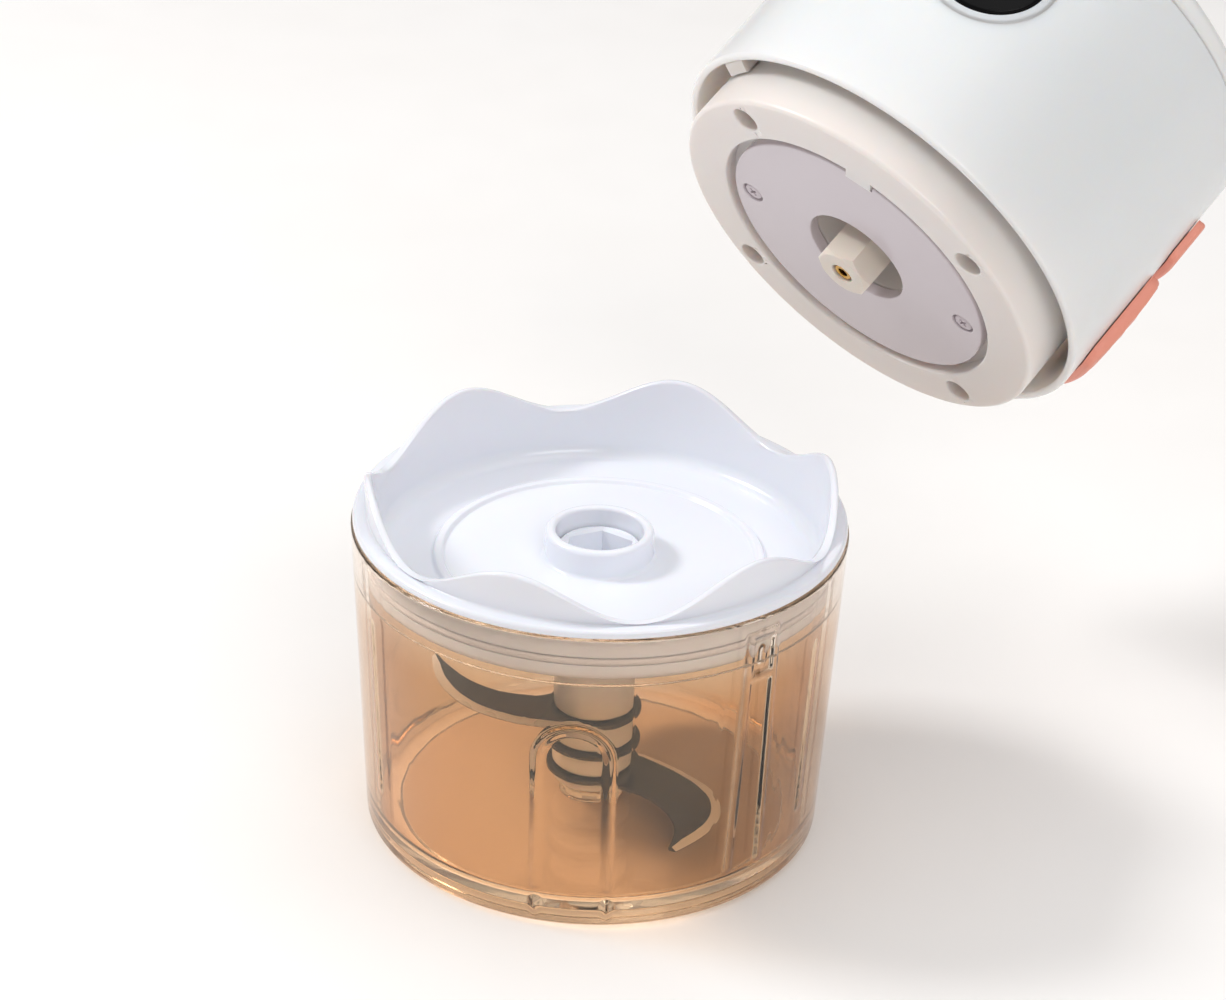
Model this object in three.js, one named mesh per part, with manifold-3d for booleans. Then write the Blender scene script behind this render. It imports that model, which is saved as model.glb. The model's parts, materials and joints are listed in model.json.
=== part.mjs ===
// A small cordless food processor: a clear bowl with its blades, a lid with a wavy collar,
// and the motor head that docks on the lid, here lifted off and tilted to show its underside.
// Millimetres, +Z up. The origin is the centre of the bowl's underside.
import * as THREE from "three";
import { mergeVertices } from "three/addons/utils/BufferGeometryUtils.js";
import Module from "manifold-3d";

const wasm = await Module();
wasm.setup();

// ---- Driving dimensions -------------------------------------------------------------------
const GAP = 0.3;

const bowl = {
  rimR: 58, rimZ: 78, footR: 54.6, wall: 2.6, footZ: 0.6, floorTop: 5.6, padR: 46, padTop: 2.1,
  footRound: 3.2, floorRound: 4, bossR: 7.5, bossRise: 3.2, pinSeat: 0.6,
};
const lid = {
  brimR: 57.6, brimTop: 80.2, pan: 68.2, panThickness: 1.8, wellR: 52.5, collarWall: 1.8,
  grooveZ: 71.4, petals: 6, petalAzimuth: 10, troughRise: 0.4, petalRise: 10.2, flare: 0.7,
  ridgeR: 37.7, ridgeRise: 1.2, ringR: 12.8, ringBoreR: 10.3, ringRise: 7.2,
};
const hub = {
  coreR: 7, sleeveR: 9.8, foot: 9.6, footRise: 2.4, coreTop: 59.7, pinR: 2.7, pinTop: 32, boreR: 3.1,
  socketTop: 71, socketFloor: 61.8, socketSlack: 0.45,
};
const blade = { thickness: 1.2, tip: [38.8, -6.5], heel: [37.3, -7.5] };
const coupling = {
  hexR: 8.1, hexTop: 9, reach: 5, turn: 26, neckR: 6.9, neckLow: 8, neckTop: 12.5, boreR: 2.75,
  insertR: 2.4, insertBoreR: 1.3, insertTop: 1.5,
};

// The head, upright, measured from the middle of its flange face.
const head = {
  skirtR: 58.5, shellWall: 2.1, lip: 9.2, shellTop: 78, domeRise: 15,
  flangeR: 52, flangeDepth: 6, recessR: 39.8, wellR: 14.2, wellDepth: 14, gapCeiling: 36, ceilingR: 56.1,
  housingWall: 1.8, plate: 2, shaftDoorR: 5.5,
};
const innerR = head.skirtR - head.shellWall;
const topCover = { wall: 1.8, spigot: 4, straight: 2 };
const button = {
  azimuth: -114.6, height: 56, r: 13.7, proud: 0.4, stemR: 2.2, stemFrom: 52,
  bezelR: 15.6, bezelProud: 0.2, bezelDepth: 2, collarR: 17.1,
};
const port = {
  azimuth: -2, height: 58, padWidth: 25, slotWidth: 10, slotTall: 4.4,
  socketFrom: 48.5, socketWidth: 9, socketTall: 3.4, mouthFrom: 50, mouthWidth: 7.4, mouthTall: 1.8,
};
const slider = { azimuth: -166, width: 8, length: 6 };

// Screws that hold the flange to the head's frame, and the disc to the flange.
const flangeScrew = {
  azimuths: [22, 112, 202, 292], distance: 46, headR: 2.9, headLow: 3.5, headHigh: 4.5, shankR: 1.4, tip: 9.5,
  sinkR: 3.5, sinkDepth: 4.8, holeR: 1.75,
};
const discScrew = {
  azimuths: [154, 334], distance: 32, headR: 2.5, headLow: 1, headHigh: 1.8, shankR: 1.2, tip: 9.2,
  sinkR: 3.3, sinkDepth: 2.1, holeR: 1.55,
};

const disc = { clearOfRecess: 2.3, face: 0.7, tabReach: 3.4, tabWidth: 7, notchWidth: 7.8 };
const board = { inner: 44, thickness: 1.6, width: 30, top: 70, switchDepth: 4, switchSide: 6 };
const motor = {
  canR: 13.9, canWall: 1.1, canFloor: 1.2, height: 30, capDepth: 2.7, bearingR: 4.7, bearingTall: 3,
  boreR: 2.7, shaftR: 2.35, shaftProud: 0.5, armatureR: 10, armatureLow: 6, armatureHigh: 23,
};
const battery = {
  distance: 33, azimuth: 60, cellR: 9.2, cellLength: 65,
  cradleR: 11.4, cradleWall: 1.8, cradleHeight: 14, cradleFloor: 1.4,
};

// Cutters and blocks that cross the barrel's wall run between these radii.
const insideWall = 40;
const outsideWall = 70;

// How the head leaves the lid: straight up by the stroke, then round a level axis beside the bowl.
const docking = { clearOfBrim: 0.5, stroke: 20, pivotOut: 68.4, pivotZ: 30.7, azimuth: 44.5, tilt: 57.8 };

// ---- Materials ----------------------------------------------------------------------------
function material(color, roughness, metalness = 0) {
  return new THREE.MeshStandardMaterial({ color, roughness, metalness });
}
const look = {
  clear: material(0xe6c9a2, 0.06),
  white: material(0xf1eff0, 0.25),
  warmWhite: material(0xe6dcd4, 0.4),
  silicone: material(0xd9d4cf, 0.7),
  steel: material(0xb9bcc0, 0.25, 1),
  brass: material(0xc79a4b, 0.3, 1),
  copper: material(0x9a5a36, 0.4, 1),
  black: material(0x08080a, 0.12),
  board: material(0x1e5b38, 0.5),
  coral: material(0xe58873, 0.45),
  cell: material(0x3f6fa8, 0.4),
};

// ---- Solids -------------------------------------------------------------------------------
const rad = THREE.MathUtils.degToRad;

function solid(geometry) {
  const bare = geometry.clone();
  bare.deleteAttribute("normal");
  bare.deleteAttribute("uv");
  const merged = mergeVertices(bare, 1e-4);
  const corners = merged.index.array;
  const kept = [];
  for (let i = 0; i < corners.length; i += 3) {
    const [a, b, c] = corners.slice(i, i + 3);
    if (a !== b && b !== c && c !== a) kept.push(a, b, c);
  }
  const vertProperties = new Float32Array(merged.attributes.position.array);
  const build = (triangles) =>
    new wasm.Manifold(new wasm.Mesh({ numProp: 3, vertProperties, triVerts: new Uint32Array(triangles) }));
  if (signedVolume(vertProperties, kept) > 0) return build(kept);
  return build(kept.reverse());
}

function signedVolume(points, triangles) {
  const corner = (n) => new THREE.Vector3().fromArray(points, 3 * triangles[n]);
  let sum = 0;
  for (let i = 0; i < triangles.length; i += 3) sum += corner(i).dot(corner(i + 1).cross(corner(i + 2)));
  return sum / 6;
}

function geometryOf(manifold) {
  const result = manifold.getMesh();
  const geometry = new THREE.BufferGeometry();
  geometry.setAttribute("position", new THREE.BufferAttribute(result.vertProperties, 3));
  geometry.setIndex(new THREE.BufferAttribute(result.triVerts, 1));
  geometry.computeVertexNormals();
  return geometry;
}

// A turned solid: the outline is a list of [radius, height] that closes on itself or on the axis.
function turned(outline, segments = 40) {
  const points = outline.map(([r, z]) => new THREE.Vector2(r, z));
  const onAxis = outline[0][0] === 0 && outline.at(-1)[0] === 0;
  if (!onAxis) points.push(points[0].clone());
  return new THREE.LatheGeometry(points, segments).rotateX(Math.PI / 2);
}

function ring(innerR, outerR, bottom, top, segments = 40) {
  return turned([[innerR, bottom], [outerR, bottom], [outerR, top], [innerR, top]], segments);
}

function rod(r, bottom, top, segments = 24) {
  return turned([[0, bottom], [r, bottom], [r, top], [0, top]], segments);
}

// A rod that lies along the outward direction at an azimuth and height of the head.
function spoke(r, from, to, { azimuth, height }, segments = 28) {
  return rod(r, from, to, segments).rotateY(Math.PI / 2).rotateZ(rad(azimuth)).translate(0, 0, height);
}

// A box whose first size is along that outward direction, from one radius to another.
function outwardBox(from, to, width, tall, { azimuth, height }) {
  const box = new THREE.BoxGeometry(to - from, width, tall);
  return box.translate((from + to) / 2, 0, height).rotateZ(rad(azimuth));
}

function arc(centre, r, fromDeg, toDeg, steps) {
  return Array.from({ length: steps + 1 }, (_, i) => {
    const angle = rad(fromDeg + ((toDeg - fromDeg) * i) / steps);
    return [centre[0] + r * Math.cos(angle), centre[1] + r * Math.sin(angle)];
  });
}

function dome(r, base, rise, steps = 4) {
  return Array.from({ length: steps + 1 }, (_, i) => {
    const angle = ((Math.PI / 2) * i) / steps;
    return i === steps ? [0, base + rise] : [r * Math.cos(angle), base + rise * Math.sin(angle)];
  });
}

function part(parent, name, shape, finish) {
  const geometry = shape.isBufferGeometry ? geometryOf(solid(shape)) : geometryOf(shape);
  const mesh = new THREE.Mesh(geometry, finish);
  mesh.name = name;
  parent.add(mesh);
  return mesh;
}

// ---- Bowl ---------------------------------------------------------------------------------
const ledgeZ = lid.pan - lid.panThickness - 0.9;

function bowlOutline() {
  const innerR = bowl.footR - bowl.wall;
  return [
    [0, bowl.padTop + GAP],
    [bowl.padR + GAP, bowl.padTop + GAP],
    [bowl.padR + GAP, bowl.footZ],
    ...arc([bowl.footR - bowl.footRound, bowl.footZ + bowl.footRound], bowl.footRound, -90, 0, 4),
    [bowl.rimR, bowl.rimZ],
    [bowl.rimR - bowl.wall, bowl.rimZ],
    [bowl.rimR - bowl.wall - 0.45, ledgeZ + 0.4],
    [bowl.rimR - bowl.wall - 1.3, ledgeZ],
    ...arc([innerR - bowl.floorRound, bowl.floorTop + bowl.floorRound], bowl.floorRound, 0, -90, 4),
    [bowl.bossR, bowl.floorTop],
    [bowl.bossR, bowl.floorTop + bowl.bossRise],
    [hub.pinR + GAP, bowl.floorTop + bowl.bossRise],
    [hub.pinR + GAP, bowl.floorTop + bowl.pinSeat],
    [0, bowl.floorTop + bowl.pinSeat],
  ];
}

function makeBowl(parent) {
  part(parent, "bowl", turned(bowlOutline()), look.clear);
  part(parent, "base_pad", rod(bowl.padR, 0, bowl.padTop, 40), look.silicone);
  part(parent, "blade_pin", rod(hub.pinR, bowl.floorTop + bowl.pinSeat + GAP, hub.pinTop, 16), look.steel);
}

// ---- Blades on their hub ------------------------------------------------------------------
// A crescent wing on a flat ring that threads over the hub. It rises or droops towards its tip.
function wing(base, azimuth, rise) {
  const rootR = hub.sleeveR + 0.4;
  const reach = Math.hypot(...blade.tip);
  const onRoot = (deg) => [rootR * Math.cos(rad(deg)), rootR * Math.sin(rad(deg))];
  const outline = new THREE.Shape();
  outline.moveTo(...onRoot(85));
  outline.bezierCurveTo(15, 18, 38, 25, ...blade.tip);
  outline.lineTo(...blade.heel);
  outline.bezierCurveTo(30, 6, 16, 2, ...onRoot(-50));
  outline.absarc(0, 0, rootR, rad(-50), rad(85), false);
  const plate = new THREE.ExtrudeGeometry(outline, {
    depth: blade.thickness, bevelEnabled: false, curveSegments: 7,
  });
  const corners = plate.attributes.position;
  for (let i = 0; i < corners.count; i += 1) {
    const beyond = Math.max(0, Math.hypot(corners.getX(i), corners.getY(i)) - rootR);
    corners.setZ(i, corners.getZ(i) + (rise * beyond) / (reach - rootR));
  }
  const root = ring(hub.coreR + GAP, rootR + 1, 0, blade.thickness, 24);
  return solid(plate).add(solid(root)).rotate([0, 0, azimuth]).translate([0, 0, base]);
}

function makeBlades(parent) {
  const plates = [
    { name: "lower_blade", base: hub.foot + 2.7, azimuth: 310, rise: -3 },
    { name: "middle_blade", base: hub.foot + 9.7, azimuth: 70, rise: 3 },
    { name: "upper_blade", base: hub.foot + 18.4, azimuth: 187, rise: 11 },
  ];
  const sleeves = ["lower_spacer", "middle_spacer", "upper_sleeve"];
  const footTop = hub.foot + hub.footRise;
  part(parent, "blade_hub", turned([
    [hub.boreR, hub.foot], [hub.sleeveR, hub.foot], [hub.sleeveR, footTop], [hub.coreR, footTop],
    [hub.coreR, hub.coreTop], [0, hub.coreTop], [0, hub.pinTop + 1], [hub.boreR, hub.pinTop + 1],
  ], 24), look.white);
  plates.forEach(({ name, base, azimuth, rise }, i) => {
    const nextBase = i + 1 < plates.length ? plates[i + 1].base : hub.coreTop + GAP;
    part(parent, name, wing(base, azimuth, rise), look.steel);
    const sleeve = ring(hub.coreR + GAP, hub.sleeveR, base + blade.thickness + GAP, nextBase - GAP, 24);
    part(parent, sleeves[i], sleeve, look.white);
  });
  const socket = solid(rod(hub.sleeveR, hub.coreTop + GAP, hub.socketTop, 30));
  const hexHole = rod(coupling.hexR + hub.socketSlack, hub.socketFloor, hub.socketTop + 1, 6);
  part(parent, "drive_socket", drilled(socket, [hexHole.rotateZ(rad(coupling.turn))]), look.white);
}

// ---- Lid ----------------------------------------------------------------------------------
// Everything above the brim is squeezed so that the collar's edge runs in even waves.
function waves(geometry) {
  const corners = geometry.attributes.position;
  for (let i = 0; i < corners.count; i += 1) {
    const above = corners.getZ(i) - lid.brimTop;
    if (above <= 0.01) continue;
    const azimuth = Math.atan2(corners.getY(i), corners.getX(i)) - rad(lid.petalAzimuth);
    const wave = 0.5 + 0.5 * Math.cos(lid.petals * azimuth);
    const rise = lid.troughRise + (lid.petalRise - lid.troughRise) * wave;
    corners.setZ(i, lid.brimTop + (above * rise) / lid.petalRise);
  }
  return geometry;
}

function makeLid(parent) {
  const under = lid.pan - lid.panThickness;
  const outerR = lid.wellR + lid.collarWall;
  const tip = lid.brimTop + lid.petalRise;
  const outline = [
    [lid.ringBoreR, under], [outerR, under],
    [outerR, lid.grooveZ - 1], [outerR - 0.9, lid.grooveZ - 1],
    [outerR - 0.9, lid.grooveZ + 1], [outerR, lid.grooveZ + 1],
    [outerR, bowl.rimZ + GAP], [lid.brimR, bowl.rimZ + GAP],
    [lid.brimR, lid.brimTop], [outerR, lid.brimTop],
    [outerR + lid.flare, tip], [lid.wellR + lid.flare, tip],
    [lid.wellR, lid.brimTop], [lid.wellR, lid.pan],
    [lid.ridgeR + 1, lid.pan], [lid.ridgeR + 0.5, lid.pan + lid.ridgeRise],
    [lid.ridgeR - 0.5, lid.pan + lid.ridgeRise], [lid.ridgeR - 1, lid.pan + 0.4],
    [lid.ringR, lid.pan + 0.4], [lid.ringR, lid.pan + lid.ringRise], [lid.ringBoreR, lid.pan + lid.ringRise],
  ];
  const aroundPetals = 8 * lid.petals;
  part(parent, "lid", waves(turned(outline, aroundPetals)), look.white);
  const gasket = ring(outerR - 0.6, outerR + 0.4, lid.grooveZ - 0.7, lid.grooveZ + 0.7, aroundPetals);
  part(parent, "lid_gasket", gasket, look.silicone);
}

// ---- Motor head ---------------------------------------------------------------------------
const tabAzimuth = -112;
const frameDepth = 2;
const frameTop = head.flangeDepth + GAP + frameDepth;

function at(geometry, r, azimuth) {
  return geometry.translate(r, 0, 0).rotateZ(rad(azimuth));
}

function drilled(shape, geometries) {
  return geometries.reduce((rest, geometry) => rest.subtract(solid(geometry)), shape);
}

function screw({ headR, headLow, headHigh, shankR, tip, distance }, azimuth) {
  const outline = [
    [0, headLow], [headR, headLow], [headR, headHigh], [shankR, headHigh], [shankR, tip], [0, tip],
  ];
  return at(turned(outline, 12), distance, azimuth);
}

function makeFlange(parent) {
  const { flangeR, flangeDepth, recessR, wellR, wellDepth, gapCeiling, ceilingR, plate, shaftDoorR } = head;
  const recessFloor = flangeDepth - plate;
  const innerWallR = flangeR - head.housingWall;
  const housing = solid(turned([
    [recessR, 0], [flangeR - 0.8, 0], [flangeR, 0.8], [flangeR, gapCeiling], [ceilingR, gapCeiling],
    [ceilingR, gapCeiling + plate], [innerWallR, gapCeiling + plate], [innerWallR, flangeDepth],
    [wellR + plate, flangeDepth], [wellR + plate, wellDepth + plate], [shaftDoorR, wellDepth + plate],
    [shaftDoorR, wellDepth], [wellR, wellDepth], [wellR, recessFloor], [recessR, recessFloor],
  ]));
  const tabPlace = { azimuth: tabAzimuth, height: recessFloor / 4 + 0.2 };
  const tabDepth = recessFloor / 2 - 0.4;
  const tab = solid(outwardBox(recessR - disc.tabReach, recessR + 1, disc.tabWidth, tabDepth, tabPlace));
  const notchPlace = { azimuth: tabAzimuth, height: recessFloor / 2 };
  const notchR = recessR - disc.tabReach - 2 * GAP;
  const tabNotch = outwardBox(notchR, recessR, disc.notchWidth, recessFloor, notchPlace);
  const frame = solid(ring(wellR + plate + 0.4, innerWallR - GAP, flangeDepth + GAP, frameTop));
  const face = solid(ring(wellR - 0.2, recessR - disc.clearOfRecess, disc.face, recessFloor - GAP));

  const shankHoles = ({ azimuths, distance, holeR }) =>
    azimuths.map((a) => at(rod(holeR, -1, 12, 12), distance, a));
  const sinks = ({ azimuths, distance, sinkR, sinkDepth }) =>
    azimuths.map((a) => at(rod(sinkR, -1, sinkDepth, 16), distance, a));
  const through = [...shankHoles(flangeScrew), ...shankHoles(discScrew)];
  const discHoles = [...shankHoles(discScrew), ...sinks(discScrew), tabNotch];
  const housingHoles = [...sinks(flangeScrew), ...through];
  part(parent, "flange_housing", drilled(housing.add(tab), housingHoles), look.warmWhite);
  part(parent, "motor_frame", drilled(frame, through), look.white);
  part(parent, "flange_disc", drilled(face, discHoles), look.warmWhite);
  flangeScrew.azimuths.forEach((azimuth, i) => {
    part(parent, `flange_screw_${i + 1}`, screw(flangeScrew, azimuth), look.steel);
  });
  discScrew.azimuths.forEach((azimuth, i) => {
    part(parent, `disc_screw_${i + 1}`, screw(discScrew, azimuth), look.steel);
  });
}

function makeShell(parent) {
  const barrel = solid(turned([
    [innerR, head.lip], [head.skirtR - 0.9, head.lip], [head.skirtR, head.lip + 0.9],
    [head.skirtR, head.shellTop], [innerR, head.shellTop],
  ], 48));
  const buttonHole = spoke(button.bezelR + GAP, insideWall, outsideWall, button);
  const portSlot = outwardBox(insideWall, outsideWall, port.slotWidth, port.slotTall, port);
  part(parent, "barrel_shell", drilled(barrel, [buttonHole, portSlot]), look.white);

  const seam = head.shellTop + GAP;
  const base = head.shellTop + topCover.straight;
  const spigotFoot = head.shellTop - topCover.spigot;
  const spigotR = innerR - GAP;
  const inner = dome(spigotR - topCover.wall, base, head.domeRise - 2);
  part(parent, "top_cover", turned([
    ...inner.reverse(), [spigotR - topCover.wall, spigotFoot], [spigotR, spigotFoot], [spigotR, seam],
    [head.skirtR, seam], ...dome(head.skirtR, base, head.domeRise),
  ], 48), look.white);
}

function makeButton(parent) {
  const bandLow = button.height - 25;
  const bandHigh = button.height + 25;
  const band = (from, to) => solid(ring(from, to, bandLow, bandHigh, 72));
  const disk = (r) => solid(spoke(r, insideWall, outsideWall, button));
  const face = band(innerR + 0.2, head.skirtR + button.proud).intersect(disk(button.r));
  const stem = solid(spoke(button.stemR, button.stemFrom, innerR + 1, button, 12));
  part(parent, "power_button", face.add(stem), look.black);

  const bezelBack = innerR - button.bezelDepth;
  const collar = band(bezelBack, head.skirtR + button.bezelProud).intersect(disk(button.bezelR));
  const flange = band(bezelBack, innerR - GAP).intersect(disk(button.collarR));
  const bore = spoke(button.r + GAP, insideWall, outsideWall, button);
  part(parent, "button_bezel", drilled(collar.add(flange), [bore]), look.white);

  const boardBottom = frameTop + GAP;
  const boardFace = board.inner + board.thickness;
  const boardPlace = { azimuth: button.azimuth, height: (board.top + boardBottom) / 2 };
  const plate = outwardBox(board.inner, boardFace, board.width, board.top - boardBottom, boardPlace);
  part(parent, "control_board", plate, look.board);
  const switchBack = boardFace + GAP;
  const switchFront = switchBack + board.switchDepth;
  const tactSwitch = outwardBox(switchBack, switchFront, board.switchSide, board.switchSide, button);
  part(parent, "button_switch", tactSwitch, look.black);
}

function makePort(parent) {
  const sector = (outline) => {
    const band = solid(turned(outline, 72));
    return band.intersect(solid(outwardBox(insideWall, outsideWall, port.padWidth, 120, port)));
  };
  const r = head.skirtR + GAP;
  const pad = [[r, 16], [r + 1.4, 20], [r + 3.4, 30], [r + 3.4, 42], [r + 1.6, 46], [r, 46]];
  const cover = [[r, 51], [r + 1.8, 51], [r + 2.4, 52], [r + 2.4, 64], [r + 1.8, 65], [r, 65]];
  const socket = solid(outwardBox(port.socketFrom, innerR - 0.4, port.socketWidth, port.socketTall, port));
  const mouth = outwardBox(port.mouthFrom, outsideWall, port.mouthWidth, port.mouthTall, port);
  part(parent, "grip_pad", sector(pad), look.coral);
  part(parent, "charging_cover", sector(cover), look.coral);
  part(parent, "charge_socket", drilled(socket, [mouth]), look.steel);
}

function makeMotor(parent) {
  const { canR, canWall, capDepth, bearingR, boreR } = motor;
  const floor = head.wellDepth + head.plate + GAP;
  const canFloor = floor + motor.canFloor;
  const canTop = floor + motor.height;
  const capTop = canTop + GAP + capDepth;
  const doorR = bearingR + GAP;
  part(parent, "motor_can", turned([
    [doorR, floor], [canR, floor], [canR, canTop], [canR - canWall, canTop],
    [canR - canWall, canFloor], [doorR, canFloor],
  ], 24), look.steel);
  part(parent, "motor_cap", ring(doorR, canR, canTop + GAP, capTop, 24), look.black);
  part(parent, "lower_bearing", ring(boreR, bearingR, floor, floor + motor.bearingTall, 12), look.brass);
  part(parent, "upper_bearing", ring(boreR, bearingR, canTop + GAP, capTop, 12), look.brass);

  const { hexR, hexTop, reach, turn, neckR, neckLow, neckTop, insertTop } = coupling;
  const hexagon = solid(rod(hexR, -reach, hexTop, 6).rotateZ(rad(turn)));
  const neck = solid(rod(neckR, neckLow, neckTop, 24));
  const bore = rod(coupling.boreR, -20, 20, 16);
  part(parent, "drive_coupling", drilled(hexagon.add(neck), [bore]), look.white);
  const insert = ring(coupling.insertBoreR, coupling.insertR, 0.4 - reach, insertTop, 16);
  part(parent, "brass_insert", insert, look.brass);
  const shaft = rod(motor.shaftR, insertTop + GAP, capTop + motor.shaftProud, 16);
  part(parent, "drive_shaft", shaft, look.steel);
  const armature = ring(boreR, motor.armatureR, floor + motor.armatureLow, floor + motor.armatureHigh, 20);
  part(parent, "armature", armature, look.copper);
}

function makeBattery(parent) {
  const { cellR, cellLength, cradleR, cradleWall, cradleHeight, cradleFloor } = battery;
  const place = (geometry) => at(geometry, battery.distance, battery.azimuth);
  const floor = frameTop + GAP;
  const seat = floor + cradleFloor;
  const rim = floor + cradleHeight;
  const wellR = cradleR - cradleWall;
  const cup = [[0, floor], [cradleR, floor], [cradleR, rim], [wellR, rim], [wellR, seat], [0, seat]];
  part(parent, "battery_cradle", place(turned(cup, 24)), look.black);
  part(parent, "battery_cell", place(rod(cellR, seat + GAP, seat + GAP + cellLength, 24)), look.cell);
}

function makeSlider(parent) {
  const { azimuth, width, length } = slider;
  const height = head.lip + 0.4 + length / 2;
  const band = solid(ring(head.flangeR + 0.5, innerR - 0.5, 0, 30, 96));
  const block = solid(outwardBox(insideWall, outsideWall, width, length, { azimuth, height }));
  part(parent, "interlock_slider", band.intersect(block), look.warmWhite);
}

// ---- Assembly -----------------------------------------------------------------------------
function tiltedHead() {
  const toSide = new THREE.Vector3(Math.cos(rad(docking.azimuth)), Math.sin(rad(docking.azimuth)), 0);
  const axis = new THREE.Vector3(0, 0, 1).cross(toSide);
  const dockedFace = lid.brimTop + docking.clearOfBrim - head.lip;
  const pivot = toSide.clone().multiplyScalar(docking.pivotOut).setZ(docking.pivotZ);
  const lifted = new THREE.Vector3(0, 0, dockedFace + docking.stroke);
  const group = new THREE.Group();
  group.position.copy(lifted.sub(pivot).applyAxisAngle(axis, rad(docking.tilt)).add(pivot));
  group.quaternion.setFromAxisAngle(axis, rad(docking.tilt));
  return group;
}

const processor = new THREE.Group();
makeBowl(processor);
makeBlades(processor);
makeLid(processor);

const motorHead = tiltedHead();
makeShell(motorHead);
makeFlange(motorHead);
makeButton(motorHead);
makePort(motorHead);
makeMotor(motorHead);
makeBattery(motorHead);
makeSlider(motorHead);
processor.add(motorHead);

export default processor;
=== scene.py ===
"""A small cordless food processor, its motor head lifted off the lid and tilted to show its underside.

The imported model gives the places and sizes. Each moulded piece is built here in finer detail, in
millimetres about its own group's axis (bowl, lid and blades about the bowl's, the motor's pieces
about the head's), and is then put in the model's frame, in metres.
"""
import json
import math

import bmesh
import bpy
from mathutils import Matrix, Vector


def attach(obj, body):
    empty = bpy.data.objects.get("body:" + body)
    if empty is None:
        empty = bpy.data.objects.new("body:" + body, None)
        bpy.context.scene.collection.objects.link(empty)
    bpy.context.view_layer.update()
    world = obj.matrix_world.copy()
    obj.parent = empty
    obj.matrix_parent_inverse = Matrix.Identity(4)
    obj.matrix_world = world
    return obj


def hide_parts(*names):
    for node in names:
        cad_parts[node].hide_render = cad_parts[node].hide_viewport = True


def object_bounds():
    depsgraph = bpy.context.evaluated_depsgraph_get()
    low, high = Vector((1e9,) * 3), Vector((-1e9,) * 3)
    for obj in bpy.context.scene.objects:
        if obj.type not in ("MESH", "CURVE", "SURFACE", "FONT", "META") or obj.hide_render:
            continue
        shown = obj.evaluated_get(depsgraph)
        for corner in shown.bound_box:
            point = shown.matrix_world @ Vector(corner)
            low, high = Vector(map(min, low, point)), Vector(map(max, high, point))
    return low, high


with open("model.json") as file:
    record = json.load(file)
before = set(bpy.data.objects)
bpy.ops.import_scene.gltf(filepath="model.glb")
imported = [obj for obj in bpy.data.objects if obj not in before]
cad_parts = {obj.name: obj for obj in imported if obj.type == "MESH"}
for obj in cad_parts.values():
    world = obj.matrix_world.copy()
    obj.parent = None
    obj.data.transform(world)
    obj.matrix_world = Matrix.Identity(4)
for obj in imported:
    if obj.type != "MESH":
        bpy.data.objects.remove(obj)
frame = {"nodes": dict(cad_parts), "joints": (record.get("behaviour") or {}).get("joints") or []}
cad_low, cad_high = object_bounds()

# ---- Groups and sizes from the frame -------------------------------------------------------
MM = 0.001
TAU = 2 * math.pi
GAP = 0.3
joints = {joint["name"]: joint for joint in frame["joints"]}
swing, spin = joints["head_swing"], joints["drive_spin"]
BOWL = Matrix.Scale(MM, 4)
HEAD = (
    Matrix.Translation(spin["pos_m"])
    @ Matrix.Rotation(math.radians(-swing["range_deg"][0]), 4, Vector(swing["axis"]))
    @ BOWL
)


def reach(node, group):
    """Outer radius, lowest and highest point of a CAD node about its group's axis, in millimetres."""
    back = group.inverted()
    points = [back @ vertex.co for vertex in frame["nodes"][node].data.vertices]
    heights = [point.z for point in points]
    return max(point.xy.length for point in points), min(heights), max(heights)


rim_r, foot_z, rim_z = reach("bowl", BOWL)
pad_r, pad_under, pad_top = reach("base_pad", BOWL)
pin_r, pin_foot, pin_top = reach("blade_pin", BOWL)
brim_r, pan_under, petal_tip = reach("lid", BOWL)
gasket_r, gasket_low, gasket_high = reach("lid_gasket", BOWL)
sleeve_r, socket_foot, socket_top = reach("drive_socket", BOWL)
skirt_r, lip_z, shell_top = reach("barrel_shell", HEAD)
_, cover_foot, cover_top = reach("top_cover", HEAD)
disc_r, disc_face, disc_back = reach("flange_disc", HEAD)
hex_r, hex_tip, neck_top = reach("drive_coupling", HEAD)

# The bowl's wall at its foot, its thickness and its floor, the boss that holds the pin, and the
# ledge under the lid's pan.
FOOT_R = 54.6
WALL = 2.6
FLOOR_TOP = 5.6
FLOOR_ROUND = 4.0
BOSS_R, BOSS_TOP = 7.5, 8.8
PIN_SEAT = 6.2
WALL_LOW = 5.0
LEDGE_Z = pan_under - 0.9


# ---- Mesh making ---------------------------------------------------------------------------
def rounded(corners, closed=True, steps=5):
    """Outline points of (r, z, fillet) corners, each fillet drawn as an arc."""
    points = []
    for i, (r, z, fillet) in enumerate(corners):
        here = Vector((r, z))
        if fillet == 0 or (not closed and i in (0, len(corners) - 1)):
            points.append((r, z))
            continue
        before = Vector(corners[i - 1][:2]) - here
        after = Vector(corners[(i + 1) % len(corners)][:2]) - here
        half = before.angle(after) / 2
        run = min(fillet / math.tan(half), 0.49 * before.length, 0.49 * after.length)
        radius = run * math.tan(half)
        before.normalize()
        after.normalize()
        centre = here + (before + after).normalized() * math.hypot(radius, run)
        start = here + before * run - centre
        turn = start.angle_signed(here + after * run - centre)
        for k in range(steps + 1):
            angle = -turn * k / steps
            spoke = Matrix.Rotation(angle, 2) @ start
            points.append((centre.x + spoke.x, centre.y + spoke.y))
    return points


def mesh_object(name, vertices, faces):
    mesh = bpy.data.meshes.new(name)
    mesh.from_pydata(vertices, [], faces)
    work = bmesh.new()
    work.from_mesh(mesh)
    bmesh.ops.recalc_face_normals(work, faces=work.faces)
    work.to_mesh(mesh)
    work.free()
    piece = bpy.data.objects.new(name, mesh)
    bpy.context.scene.collection.objects.link(piece)
    return piece


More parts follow.
